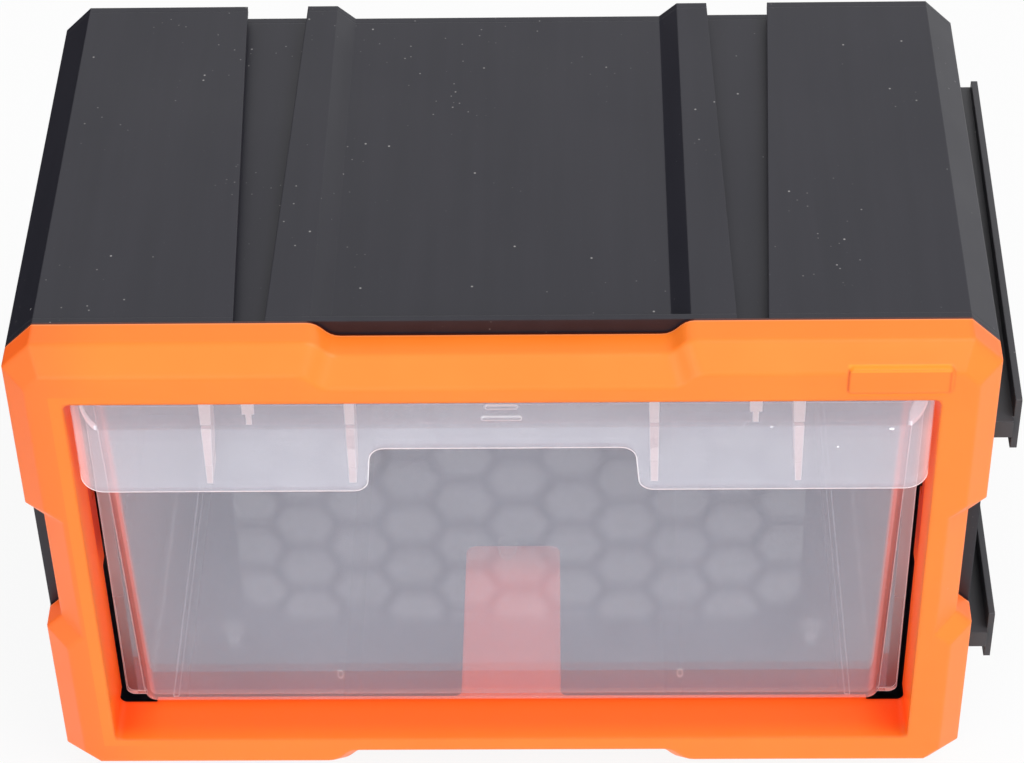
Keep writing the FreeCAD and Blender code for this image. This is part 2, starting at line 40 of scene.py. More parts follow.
def camera_axes():
    forward = Vector((
        math.sin(CAMERA_YAW) * math.cos(CAMERA_PITCH),
        math.cos(CAMERA_YAW) * math.cos(CAMERA_PITCH),
        math.sin(CAMERA_PITCH),
    ))
    level = Vector((math.cos(CAMERA_YAW), -math.sin(CAMERA_YAW), 0.0))
    upright = level.cross(forward)
    right = level * math.cos(CAMERA_ROLL) + upright * math.sin(CAMERA_ROLL)
    up = upright * math.cos(CAMERA_ROLL) - level * math.sin(CAMERA_ROLL)
    return right, up, forward


def make_camera():
    right, up, forward = camera_axes()
    turn = Matrix((right, up, -forward)).transposed().to_4x4()
    lens = bpy.data.cameras.new("camera")
    lens.sensor_fit = "HORIZONTAL"
    lens.sensor_width = SENSOR_WIDTH
    lens.lens = FOCAL_LENGTH
    lens.clip_start = 0.05
    lens.clip_end = 20.0
    camera = bpy.data.objects.new("camera", lens)
    camera.matrix_world = Matrix.Translation(Vector(CAMERA_PLACE)) @ turn
    bpy.context.scene.collection.objects.link(camera)
    bpy.context.scene.camera = camera


# Node trees for the materials


def new_material(name):
    material = bpy.data.materials.new(name)
    material.use_nodes = True
    material.node_tree.nodes.clear()
    return material, material.node_tree


def node(tree, kind, inputs=None, **settings):
    made = tree.nodes.new(kind)
    for key, value in settings.items():
        setattr(made, key, value)
    for key, value in (inputs or {}).items():
        if isinstance(value, bpy.types.NodeSocket):
            tree.links.new(value, made.inputs[key])
        else:
            made.inputs[key].default_value = value
    return made


def maths(tree, operation, first, second=0.0, third=None):
    made = tree.nodes.new("ShaderNodeMath")
    made.operation = operation
    values = [first, second] if third is None else [first, second, third]
    for place, value in enumerate(values):
        if isinstance(value, bpy.types.NodeSocket):
            tree.links.new(value, made.inputs[place])
        else:
            made.inputs[place].default_value = value
    return made.outputs[0]


def ranged(tree, value, low, high, to_low, to_high, smooth=False):
    made = node(tree, "ShaderNodeMapRange", {
        "Value": value, "From Min": low, "From Max": high, "To Min": to_low, "To Max": to_high,
    })
    if smooth:
        made.interpolation_type = "SMOOTHSTEP"
    return made.outputs["Result"]


def blended(tree, share, first, second):
    made = tree.nodes.new("ShaderNodeMix")
    made.data_type = "RGBA"
    for key, value in (("Factor", share), ("A", first), ("B", second)):
        socket = [s for s in made.inputs if s.name == key and (key == "Factor" or s.type == "RGBA")][0]
        if isinstance(value, bpy.types.NodeSocket):
            tree.links.new(value, socket)
        else:
            socket.default_value = value
    return [s for s in made.outputs if s.type == "RGBA"][0]


def object_place(tree, stretch=(1.0, 1.0, 1.0)):
    where = node(tree, "ShaderNodeTexCoord").outputs["Object"]
    return node(tree, "ShaderNodeMapping", {"Vector": where, "Scale": stretch}).outputs["Vector"]


def noise(tree, place, scale, detail=2.0, roughness=0.5, distortion=0.0):
    return node(tree, "ShaderNodeTexNoise", {
        "Vector": place, "Scale": scale, "Detail": detail,
        "Roughness": roughness, "Distortion": distortion,
    }).outputs["Fac"]


def axes(tree, vector):
    made = node(tree, "ShaderNodeSeparateXYZ", {"Vector": vector})
    return made.outputs["X"], made.outputs["Y"], made.outputs["Z"]


def within(tree, value, middle, half, soft):
    """1 where the value lies less than half away from the middle, fading out over soft."""
    away = maths(tree, "ABSOLUTE", maths(tree, "SUBTRACT", value, middle))
    return ranged(tree, away, half - soft / 2, half + soft / 2, 1.0, 0.0)


def oval(tree, across, upright, centre, halves):
    """Distance from an oval's centre, 1 on its outline."""
    first = maths(tree, "DIVIDE", maths(tree, "SUBTRACT", across, centre[0]), halves[0])
    second = maths(tree, "DIVIDE", maths(tree, "SUBTRACT", upright, centre[1]), halves[1])
    squares = maths(tree, "ADD", product(tree, first, first), product(tree, second, second))
    return maths(tree, "SQRT", squares)


def product(tree, *shares):
    result = shares[0]
    for share in shares[1:]:
        result = maths(tree, "MULTIPLY", result, share)
    return result


def specks(tree, place, spacing, size, share):
    """Small dots, one in each cell of a loose grid, in the given share of the cells."""
    cells = node(tree, "ShaderNodeTexVoronoi", {"Vector": place, "Scale": 1.0 / spacing})
    dot = ranged(tree, cells.outputs["Distance"], size / spacing * 0.4, size / spacing, 1.0, 0.0)
    lot = node(tree, "ShaderNodeSeparateColor", {"Color": cells.outputs["Color"]}).outputs["Red"]
    chosen = maths(tree, "GREATER_THAN", lot, 1.0 - share)
    return maths(tree, "MULTIPLY", dot, chosen)


def scratches(tree, place, spacing, width, share):
    """Hairlines that follow the middle level of a noise, cut to short lengths by a second noise."""
    level = noise(tree, place, 1.0 / spacing, 1.0, 0.4, 0.6)
    away = maths(tree, "ABSOLUTE", maths(tree, "SUBTRACT", level, 0.5))
    line = ranged(tree, away, width / spacing * 0.3, width / spacing, 1.0, 0.0)
    patch = noise(tree, place, 0.7 / spacing, 2.0, 0.6)
    kept = ranged(tree, patch, 1.0 - share, 1.04 - share, 0.0, 1.0)
    return maths(tree, "MULTIPLY", line, kept)


def rounded_normal(tree, radius):
    return node(tree, "ShaderNodeBevel", {"Radius": radius}, samples=6).outputs["Normal"]


def bumped(tree, height, strength, distance, normal=None):
    inputs = {"Height": height, "Strength": strength, "Distance": distance}
    if normal is not None:
        inputs["Normal"] = normal
    return node(tree, "ShaderNodeBump", inputs).outputs["Normal"]


def output(tree, surface):
    node(tree, "ShaderNodeOutputMaterial", {"Surface": surface})


# Black plastic

BLACK = (0.0080, 0.0078, 0.0150, 1.0)
BLACK_STREAK = (0.0110, 0.0104, 0.0185, 1.0)
# A lighter black: painted light on the right rail
BLACK_RAIL_LIGHT = (0.045, 0.044, 0.050, 1.0)
DUST = (0.32, 0.31, 0.31, 1.0)

# Orange plastic: its tones on the bezel, with painted shade, painted highlights and a painted glow that
# stands in for light bounced inside the opening

ORANGE = (0.96, 0.220, 0.016, 1.0)
ORANGE_STREAK = (0.97, 0.240, 0.021, 1.0)
ORANGE_MARK = (1.0, 0.62, 0.42, 1.0)
ORANGE_LEFT_WARM_LIGHT = (0.96, 0.180, 0.018, 1.0)
ORANGE_INSIDE_SHADE = (0.80, 0.150, 0.012, 1.0)
ORANGE_CORNER_SHADE = (0.80, 0.090, 0.006, 1.0)
ORANGE_BEHIND = (0.30, 0.015, 0.002, 1.0)
ORANGE_JOINT_SHADE = (0.08, 0.008, 0.002, 1.0)
ORANGE_HIGHLIGHT_LINE = (0.96, 0.28, 0.075, 1.0)
ORANGE_BAND_HIGHLIGHT = (0.98, 0.320, 0.022, 1.0)
ORANGE_FOOT_HIGHLIGHT = (0.97, 0.250, 0.006, 1.0)
ORANGE_SHADE = (0.78, 0.150, 0.010, 1.0)
TONGUE_SHADE = (0.42, 0.32, 0.34, 1.0)
PAINTED_GLOW = (0.10, 0.006, 0.000, 1.0)
PAINTED_GLOW_INSIDE = (0.36, 0.018, 0.002, 1.0)
PAINTED_GLOW_BEHIND = (0.34, 0.018, 0.004, 1.0)
NO_GLOW = (0.0, 0.0, 0.0, 1.0)

# Clear plastic: its milky tones, and painted light, reflection and shade, much of it the bezel's orange
# light painted in

MILK = (0.72, 0.73, 0.92, 1.0)
MILK_MARK = (0.95, 0.94, 0.97, 1.0)
PLATE_MILK = (0.71, 0.70, 0.84, 1.0)
PLATE_SHADE = (0.47, 0.46, 0.58, 1.0)
EDGE_LIGHT = (0.95, 0.95, 1.0, 1.0)
CORAL = (1.0, 0.46, 0.44, 1.0)
END_CORAL = (1.0, 0.34, 0.30, 1.0)
PINK = (1.0, 0.62, 0.60, 1.0)
ROSE = (1.0, 0.80, 0.79, 1.0)
MAUVE = (0.55, 0.38, 0.44, 1.0)
DEEP_MAUVE = (0.26, 0.13, 0.17, 1.0)

# How strongly the plastics mirror. Only the hazy share of the clear plastic mirrors, so there it is raised

PLASTIC_IOR = 1.49
HAZE_IOR = 4.0

# Places on the object that the finishes follow, worked out from the boxes of its pieces. Where a place
# tells one face from another, it lies a little off both

BEZEL_LOW, BEZEL_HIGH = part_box("front_bezel")
BEZEL_HALF_HEIGHT = (BEZEL_HIGH.z - BEZEL_LOW.z) / 2
BADGE_RISE = 0.4 * MM
BEZEL_FACE = BEZEL_LOW.y + BADGE_RISE
BEZEL_SIDE = 15.3 * MM
OPENING_HALF = BEZEL_HIGH.x - BEZEL_SIDE
OPENING_MIDDLE = (BEZEL_LOW.z + BEZEL_HIGH.z) / 2
OPENING_HALF_HEIGHT = BEZEL_HALF_HEIGHT - BEZEL_SIDE
OUTSIDE_HALF = BEZEL_HIGH.x - 12 * MM
OUTSIDE_HALF_HEIGHT = BEZEL_HALF_HEIGHT - 13 * MM
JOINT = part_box("front_flange")[0].y - 0.2 * MM
RAIL_INNER = BEZEL_HIGH.x + 0.2 * MM

BADGE_MIDDLE = BEZEL_HIGH.x - 26.8 * MM
BADGE_HALF = 13.0 * MM
BADGE_MIDDLE_HEIGHT = BEZEL_HIGH.z - 8.95 * MM
BADGE_TOP = BEZEL_HIGH.z - 5.0 * MM
BADGE_BOTTOM = BEZEL_HIGH.z - 13.35 * MM
BADGE_DEPTH = 6.0 * MM

TONGUE_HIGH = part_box("stop_tongue")[1]
TONGUE_HALF = 15 * MM
TONGUE_FRONT = BEZEL_HIGH.y - 2.5 * MM
TONGUE_REAR = TONGUE_HIGH.y - 2.8 * MM
UNDER_DRAWER = TONGUE_HIGH.z + 1.15 * MM

BIN_LOW, BIN_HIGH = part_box("drawer_bin")
PANEL_FRONT = BIN_LOW.y
WING = PANEL_FRONT + 3.65 * MM
WING_INNER = BIN_HIGH.x - 3.1 * MM
ABOVE_DRAWER_FLOOR = BIN_LOW.z + 3.25 * MM
PLATE_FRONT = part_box("drawer_handle")[0].y + 1.2 * MM

RIM_LOW, RIM_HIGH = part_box("drawer_rim")
RIM_TOP = RIM_HIGH.z - 0.2 * MM
RIM_FRONT = RIM_LOW.y + 0.6 * MM
CORNER_RADIUS = 20.0 * MM
CORNER_CENTRE = (RIM_HIGH.x - CORNER_RADIUS, RIM_LOW.y + 13.8 * MM)


def edge_share(tree, normal):
    """Near 1 on a rounded edge and 0 on a flat face."""
    flat = node(tree, "ShaderNodeNewGeometry").outputs["True Normal"]
    turned = node(tree, "ShaderNodeVectorMath", {0: normal, 1: flat}, operation="DOT_PRODUCT")
    return ranged(tree, turned.outputs["Value"], 0.99, 0.88, 0.0, 1.0)


def black_plastic():
    material, tree = new_material("black_plastic_moulded")
    place = object_place(tree)
    along = object_place(tree, (1.0, 0.06, 1.0))
    streaks = noise(tree, along, 160.0, 3.0, 0.6)
    clouds = noise(tree, place, 22.0, 3.0, 0.55)
    tone = blended(tree, ranged(tree, streaks, 0.35, 0.65, 0.0, 1.0), BLACK, BLACK_STREAK)
    # Painted light: only the rail on the right side gets a lighter black, as if more light falls on it
    rail_light = ranged(tree, axes(tree, place)[0], RAIL_INNER, RAIL_INNER + 0.4 * MM, 0.0, 1.0)
    tone = blended(tree, rail_light, tone, BLACK_RAIL_LIGHT)
    gathered = noise(tree, place, 26.0, 2.0, 0.5)
    dust = maths(tree, "ADD", specks(tree, place, 6 * MM, 0.38 * MM, 0.50),
                 maths(tree, "MULTIPLY", specks(tree, place, 2.4 * MM, 0.30 * MM, 0.45),
                       ranged(tree, gathered, 0.52, 0.66, 0.04, 0.75)))
    marks = scratches(tree, object_place(tree, (1.0, 0.12, 1.0)), 26 * MM, 0.035 * MM, 0.30)
    light = maths(tree, "MINIMUM", maths(tree, "ADD", dust, maths(tree, "MULTIPLY", marks, 0.20)), 1.0)
    colour = blended(tree, light, tone, DUST)
    roughness = maths(tree, "ADD", ranged(tree, clouds, 0.3, 0.7, 0.40, 0.47),
                      maths(tree, "MULTIPLY", marks, 0.15))
    grain = noise(tree, place, 2400.0, 2.0, 0.5)
    height = maths(tree, "ADD", maths(tree, "MULTIPLY", grain, 0.5),
                   maths(tree, "MULTIPLY", streaks, 0.7))
    normal = bumped(tree, height, 0.12, 0.05 * MM, rounded_normal(tree, 0.5 * MM))
    shader = node(tree, "ShaderNodeBsdfPrincipled", {
        "Base Color": colour, "Roughness": roughness, "IOR": PLASTIC_IOR, "Normal": normal,
    })
    output(tree, shader.outputs["BSDF"])
    return material


def inside_opening(tree, x, y, z):
    """1 on the bezel's surfaces inside its opening, growing with the depth behind its face. There the bezel
    gets painted shade and a painted glow.
    """
    return product(tree, within(tree, x, 0.0, OPENING_HALF, 0.2 * MM),
                   within(tree, z, OPENING_MIDDLE, OPENING_HALF_HEIGHT, 0.2 * MM),
                   ranged(tree, y, BEZEL_FACE, BEZEL_FACE + 7.0 * MM, 0.15, 1.0, smooth=True))


def opening_corner(tree, x, z):
    """1 in the opening's four corners and 0 away from them."""
    beside = ranged(tree, maths(tree, "ABSOLUTE", x), 98 * MM, 112 * MM, 0.0, 1.0, smooth=True)
    off_middle = maths(tree, "ABSOLUTE", maths(tree, "SUBTRACT", z, OPENING_MIDDLE))
    return product(tree, beside, ranged(tree, off_middle, 52 * MM, 65 * MM, 0.0, 1.0, smooth=True))


def behind_joint(tree, y, z):
    """1 on the upper part of the collar, which lies in the shade behind the joint."""
    return product(tree, ranged(tree, y, JOINT - 0.8 * MM, JOINT + 0.7 * MM, 0.0, 1.0),
                   ranged(tree, z, 70 * MM, 86 * MM, 0.0, 1.0, smooth=True))


def outer_skin(tree, x, z):
    """1 on the bezel's outer faces and 0 inside its opening."""
    off_middle = maths(tree, "ABSOLUTE", maths(tree, "SUBTRACT", z, OPENING_MIDDLE))
    return maths(tree, "MAXIMUM", maths(tree, "GREATER_THAN", maths(tree, "ABSOLUTE", x), OUTSIDE_HALF),
                 maths(tree, "GREATER_THAN", off_middle, OUTSIDE_HALF_HEIGHT))


def sheltered(tree, x, y, z):
    """1 on the small slanted walls at the bezel's upper corners and in its side notches."""
    off_middle = maths(tree, "ABSOLUTE", maths(tree, "SUBTRACT", z, OPENING_MIDDLE))
    beside = maths(tree, "ABSOLUTE", x)
    corner = product(tree, ranged(tree, beside, 119 * MM, 121 * MM, 0.0, 1.0),
                     ranged(tree, z, 157 * MM, 159 * MM, 0.0, 1.0))
    notch = product(tree, ranged(tree, beside, 122.6 * MM, 123.6 * MM, 0.0, 1.0),
                    ranged(tree, off_middle, 25.5 * MM, 24.0 * MM, 0.0, 1.0))
    return product(tree, maths(tree, "MAXIMUM", corner, notch),
                   ranged(tree, y, BEZEL_FACE + 4.0 * MM, BEZEL_FACE + 9.0 * MM, 0.0, 1.0, smooth=True))


def badge_band(tree, x, z):
    """1 along the upper side of the badge plate, which faces the light."""
    return product(tree, within(tree, x, BADGE_MIDDLE, BADGE_HALF, 0.8 * MM),
                   within(tree, z, BADGE_TOP, 0.45 * MM, 0.25 * MM))


def badge_sides(tree, x, z):
    """1 along the two short sides of the badge plate, which face away from the light."""
    beside = maths(tree, "ABSOLUTE", maths(tree, "SUBTRACT", x, BADGE_MIDDLE))
    return product(tree, within(tree, beside, BADGE_HALF - 0.1 * MM, 0.3 * MM, 0.5 * MM),
                   within(tree, z, BADGE_MIDDLE_HEIGHT, 3.4 * MM, 0.8 * MM))


def badge_foot(tree, x, z):
    """1 along the lower side of the badge plate, where a thin highlight is painted."""
    return product(tree, within(tree, x, BADGE_MIDDLE, BADGE_HALF - 0.6 * MM, 1.0 * MM),
                   within(tree, z, BADGE_BOTTOM, 0.45 * MM, 0.3 * MM))


def tongue_shade(tree, x, y, z):
    """How far the stop tongue under the drawer's floor is greyed with painted shade, most at its rear end.
    """
    under = product(tree, within(tree, x, 0.0, TONGUE_HALF, 0.1 * MM),
                    maths(tree, "LESS_THAN", z, UNDER_DRAWER), maths(tree, "GREATER_THAN", y, TONGUE_FRONT))
    return product(tree, under, ranged(tree, y, TONGUE_REAR - 12 * MM, TONGUE_REAR, 0.22, 0.75, smooth=True))


def orange_plastic():
    material, tree = new_material("orange_plastic_moulded")
    place = object_place(tree)
    x, y, z = axes(tree, place)
    clouds = noise(tree, place, 30.0, 3.0, 0.55)
    tone = blended(tree, ranged(tree, clouds, 0.3, 0.7, 0.0, 1.0), ORANGE, ORANGE_STREAK)
    inside = inside_opening(tree, x, y, z)
    # Painted shade: the opening's inner corners are darker red
    corner = product(tree, inside, opening_corner(tree, x, z))
    outside = outer_skin(tree, x, z)
    # Painted light: the left outer faces are redder, as if a warmer light falls from the left
    left = product(tree, outside, ranged(tree, x, -98 * MM, -124 * MM, 0.0, 1.0, smooth=True))
    shelter = product(tree, outside, sheltered(tree, x, y, z))
    on_face = maths(tree, "LESS_THAN", y, BEZEL_FACE + BADGE_DEPTH)
    # Painted highlight on the badge's upper side and along its foot, painted shade on its two short sides
    band = product(tree, on_face, badge_band(tree, x, z))
    sides = product(tree, on_face, badge_sides(tree, x, z))
    foot_highlight = product(tree, on_face, badge_foot(tree, x, z))
    greyed = tongue_shade(tree, x, y, z)
    # Painted highlight along the bezel's rear outer edge, and behind it painted shade in the gap at the
    # joint, where the glow is also taken away
    line = product(tree, outside, within(tree, y, JOINT - 0.75 * MM, 0.22 * MM, 0.1 * MM))
    joint_shade = product(tree, outside, maths(tree, "GREATER_THAN", y, JOINT - 0.5 * MM))
    behind = product(tree, inside, behind_joint(tree, y, z))
    # Painted shade and glow: inside the opening and on the sheltered walls the orange is darker red and
    # glows more
    lit = maths(tree, "MAXIMUM", inside, maths(tree, "MULTIPLY", shelter, 0.8))
    tone = blended(tree, left, tone, ORANGE_LEFT_WARM_LIGHT)
    tone = blended(tree, band, tone, ORANGE_BAND_HIGHLIGHT)
    tone = blended(tree, sides, tone, ORANGE_SHADE)
    tone = blended(tree, foot_highlight, tone, ORANGE_FOOT_HIGHLIGHT)
    tone = blended(tree, greyed, tone, TONGUE_SHADE)
    tone = blended(tree, lit, tone, ORANGE_INSIDE_SHADE)
    tone = blended(tree, corner, tone, ORANGE_CORNER_SHADE)
    tone = blended(tree, line, tone, ORANGE_HIGHLIGHT_LINE)
    tone = blended(tree, behind, tone, ORANGE_BEHIND)
    tone = blended(tree, joint_shade, tone, ORANGE_JOINT_SHADE)
    # Painted glow: the whole bezel glows a little, more inside the opening and behind the joint, though it
    # is no lamp
    glow = blended(tree, lit, PAINTED_GLOW, PAINTED_GLOW_INSIDE)
    glow = blended(tree, maths(tree, "MAXIMUM", joint_shade, greyed), glow, NO_GLOW)
    glow = blended(tree, behind, glow, PAINTED_GLOW_BEHIND)
    marks = scratches(tree, place, 30 * MM, 0.03 * MM, 0.30)
    dots = specks(tree, place, 12 * MM, 0.30 * MM, 0.10)
    colour = blended(tree, maths(tree, "MULTIPLY", maths(tree, "ADD", marks, dots), 0.3),
                     tone, ORANGE_MARK)
    roughness = ranged(tree, clouds, 0.3, 0.7, 0.38, 0.46)
    grain = noise(tree, place, 1800.0, 2.0, 0.5)
    normal = bumped(tree, grain, 0.10, 0.04 * MM, rounded_normal(tree, 1.5 * MM))
    shader = node(tree, "ShaderNodeBsdfPrincipled", {
        "Base Color": colour, "Roughness": roughness, "IOR": PLASTIC_IOR, "Normal": normal,
        "Emission Color": glow, "Emission Strength": 1.0,
    })
    output(tree, shader.outputs["BSDF"])
    return material


def clear_plastic(name, milk, haze, tints=(), wear=0.3, edge_haze=0.55, edge_light=0.15,
                  edge_radius=0.45 * MM, edge_place=None):
    """Milky clear plastic, with a painted highlight and glow on its rounded edges. A tint returns a share by
    place, a colour, and more haze, painted glow and roughness.
    """
    material, tree = new_material(name)
    place = object_place(tree)
    clouds = noise(tree, place, 14.0, 3.0, 0.55)
    marks = scratches(tree, place, 22 * MM, 0.03 * MM, 0.36)
    dots = specks(tree, place, 9 * MM, 0.25 * MM, 0.14)
    worn = maths(tree, "MINIMUM", maths(tree, "ADD", marks, dots), 1.0)
    rounded = rounded_normal(tree, edge_radius)
    edge = edge_share(tree, rounded)
    if edge_place is not None:
        edge = product(tree, edge, edge_place(tree))
    colour = blended(tree, maths(tree, "MULTIPLY", worn, min(1.0, wear * 3)), milk, MILK_MARK)
    share = ranged(tree, clouds, 0.3, 0.7, haze * 0.92, haze * 1.08)
    share = maths(tree, "ADD", share, maths(tree, "MULTIPLY", worn, wear))
    roughness = ranged(tree, clouds, 0.3, 0.7, 0.018, 0.026)
    glow = NO_GLOW
    for tint in tints:
        here, tint_colour, more_haze, light, rougher = tint(tree)
        colour = blended(tree, here, colour, tint_colour)
        share = maths(tree, "ADD", share, maths(tree, "MULTIPLY", here, more_haze))
        roughness = maths(tree, "ADD", roughness, maths(tree, "MULTIPLY", here, rougher))
        glow = blended(tree, maths(tree, "MULTIPLY", here, light), glow, tint_colour)
    # Painted highlight: rounded edges get a paler colour and a glow
    colour = blended(tree, edge, colour, EDGE_LIGHT)
    share = maths(tree, "ADD", share, maths(tree, "MULTIPLY", edge, edge_haze))
    share = maths(tree, "MINIMUM", share, 1.0)
    glow = blended(tree, maths(tree, "MULTIPLY", edge, edge_light), glow, EDGE_LIGHT)
    waves = noise(tree, place, 60.0, 2.0, 0.5)
    normal = bumped(tree, waves, 0.02, 0.06 * MM, rounded)
    shader = node(tree, "ShaderNodeBsdfPrincipled", {
        "Base Color": colour, "Roughness": roughness, "IOR": HAZE_IOR, "Normal": normal,
        "Emission Color": glow, "Emission Strength": 1.0,
    })
    clear = node(tree, "ShaderNodeBsdfTransparent", {"Color": WHITE})
    mix = node(tree, "ShaderNodeMixShader", {"Fac": share})
    tree.links.new(clear.outputs["BSDF"], mix.inputs[1])
    tree.links.new(shader.outputs["BSDF"], mix.inputs[2])
    output(tree, mix.outputs["Shader"])
    return material


def bin_corners(tree):
    """Coral light from the bezel, in the bin's upright corners and beside them."""
    coordinates = node(tree, "ShaderNodeTexCoord")
    facing_x, facing_y, _ = axes(tree, coordinates.outputs["Normal"])
    x, y, z = axes(tree, coordinates.outputs["Object"])
    turned = product(tree, maths(tree, "ABSOLUTE", facing_x), maths(tree, "ABSOLUTE", facing_y))
    corner = ranged(tree, turned, 0.03, 0.35, 0.0, 0.9)
    beside = ranged(tree, maths(tree, "ABSOLUTE", x), 78 * MM, 106 * MM, 0.0, 0.12)
    front = ranged(tree, y, -50 * MM, -54 * MM, 0.0, 1.0)
    light = ranged(tree, z, 55 * MM, 105 * MM, 0.12, 0.40)
    return product(tree, front, maths(tree, "MAXIMUM", corner, beside)), CORAL, 0.20, light, 0.0


def on_wing(tree, x, y):
    """1 on the thin wings beside the bin."""
    return product(tree, within(tree, y, WING, 0.8 * MM, 0.1 * MM),
                   maths(tree, "GREATER_THAN", maths(tree, "ABSOLUTE", x), WING_INNER))


def bin_wings(tree):
    """The wings, which carry a mauve light and blur what they mirror."""
    x, y, _ = axes(tree, object_place(tree))
    return on_wing(tree, x, y), MAUVE, 0.16, 0.0, 0.45


def bin_wing_feet(tree):
    """The lower part of the wings, which is darker."""
    x, y, z = axes(tree, object_place(tree))
    low = ranged(tree, z, 75 * MM, 30 * MM, 0.0, 1.0)
    return product(tree, on_wing(tree, x, y), low), DEEP_MAUVE, -0.08, 0.0, 0.0


def bin_front_foot(tree):
    """The lower edge of the front panel, lit by the sill."""
    _, y, z = axes(tree, object_place(tree))
    low = product(tree, ranged(tree, z, 23.4 * MM, 22.2 * MM, 0.0, 1.0),
                  maths(tree, "LESS_THAN", y, PANEL_FRONT + 4.0 * MM))
    return low, PINK, 0.18, 0.08, 0.2


def bin_ovals(tree):
    """Two small moulded ovals low on the front panel, their outlines with a faint painted glow."""
    x, y, z = axes(tree, object_place(tree))
    away = oval(tree, maths(tree, "ABSOLUTE", x), z, (48.3 * MM, 32.6 * MM), (0.75 * MM, 1.6 * MM))
    outline = within(tree, away, 1.0, 0.30, 0.3)
    in_front = maths(tree, "LESS_THAN", y, PANEL_FRONT + 0.5 * MM)
    return product(tree, outline, in_front), MILK_MARK, 0.15, 0.06, 0.0


def bin_gate(tree):
    """The round mark in the middle of the floor where the plastic went into the mould."""
    x, y, z = axes(tree, object_place(tree))
    away = oval(tree, x, y, (-1.7 * MM, -1.3 * MM), (2.6 * MM, 4.2 * MM))
    ring = within(tree, away, 1.0, 0.12, 0.15)
    floor = maths(tree, "LESS_THAN", z, ABOVE_DRAWER_FLOOR)
    mark = maths(tree, "MAXIMUM", ring, ranged(tree, away, 0.4, 1.0, 0.45, 0.0))
    return product(tree, mark, floor), MILK_MARK, 0.15, 0.0, 0.2


def plate_ends(tree):
    """Coral light from the bezel in both ends of the handle plate."""
    x, _, z = axes(tree, object_place(tree))
    end = ranged(tree, maths(tree, "ABSOLUTE", x), 106.8 * MM, 110.6 * MM, 0.0, 0.9, smooth=True)
    return product(tree, end, ranged(tree, z, 146 * MM, 138 * MM, 0.4, 1.0)), END_CORAL, 0.25, 0.10, 0.0


def plate_top(tree):
    """The upper part of the plate, darker because the rim lies behind it."""
    _, _, z = axes(tree, object_place(tree))
    return ranged(tree, z, RIM_TOP, RIM_TOP + 0.8 * MM, 0.0, 1.0), PLATE_SHADE, 0.0, 0.0, 0.0


def plate_outline(tree):
    """Where the plate's edge carries a painted highlight line: all round but up its sides, and fainter on
    the two bars.
    """
    x, y, z = axes(tree, object_place(tree))
    up_side = product(tree, maths(tree, "GREATER_THAN", maths(tree, "ABSOLUTE", x), 109.6 * MM),
                      ranged(tree, z, 121 * MM, 125 * MM, 0.0, 1.0))
    bars = product(tree, within(tree, x, 0.0, 14 * MM, 0.1 * MM),
                   maths(tree, "GREATER_THAN", z, 137 * MM), 0.5)
    return product(tree, maths(tree, "LESS_THAN", y, PLATE_FRONT), maths(tree, "SUBTRACT", 1.0, up_side),
                   maths(tree, "SUBTRACT", 1.0, bars))


def plate_glints(tree):
    """Painted glints: bright points on the handle plate's right half."""
    x, y, z = axes(tree, object_place(tree))
    near = oval(tree, x, z, (100.7 * MM, 138.2 * MM), (0.75 * MM, 0.42 * MM))
    faint = oval(tree, x, z, (69.7 * MM, 139.2 * MM), (0.6 * MM, 0.4 * MM))
    speck = oval(tree, x, z, (87.1 * MM, 131.9 * MM), (0.3 * MM, 0.3 * MM))
    bright = maths(tree, "MAXIMUM", ranged(tree, near, 0.7, 1.2, 1.0, 0.0),
                   ranged(tree, speck, 0.7, 1.2, 1.0, 0.0))
    mark = maths(tree, "MAXIMUM", bright, ranged(tree, faint, 0.6, 1.2, 0.5, 0.0))
    return product(tree, mark, maths(tree, "LESS_THAN", y, PLATE_FRONT)), EDGE_LIGHT, 0.60, 0.3, 0.0


def rim_corners(tree):
    """White light in the rim's rounded front corners, narrow on the left and wide on the right."""
    x, y, _ = axes(tree, object_place(tree))
    away = oval(tree, maths(tree, "ABSOLUTE", x), y, CORNER_CENTRE, (CORNER_RADIUS, CORNER_RADIUS))
    slanted = maths(tree, "SUBTRACT", x, maths(tree, "MULTIPLY", y, 0.38))
    narrow = ranged(tree, away, 0.94, 0.97, 0.0, 1.0)
    wide = ranged(tree, slanted, 130.6 * MM, 131.6 * MM, 0.0, 0.9)
    on_right = maths(tree, "GREATER_THAN", x, 0.0)
    band = maths(tree, "ADD", product(tree, on_right, wide),
                 product(tree, maths(tree, "SUBTRACT", 1.0, on_right), narrow))
    corner = product(tree, ranged(tree, maths(tree, "ABSOLUTE", x), 104.8 * MM, 105.8 * MM, 0.0, 1.0),
                     ranged(tree, y, CORNER_CENTRE[1], CORNER_CENTRE[1] - 5.5 * MM, 0.0, 1.0))
    return product(tree, band, corner), EDGE_LIGHT, 0.75, 0.5, 0.0


def rim_front_line(tree):
    """Light along the rim's front edge, behind the handle plate."""
    _, y, _ = axes(tree, object_place(tree))
    return maths(tree, "LESS_THAN", y, RIM_FRONT), EDGE_LIGHT, 0.06, 0.04, 0.0


def web_light(tree):
    """The light that gathers in the webs, most in their upper part."""
    _, _, z = axes(tree, object_place(tree))
    return ranged(tree, z, 118 * MM, 150 * MM, 0.8, 1.0), ROSE, 0.15, 0.10, 0.3


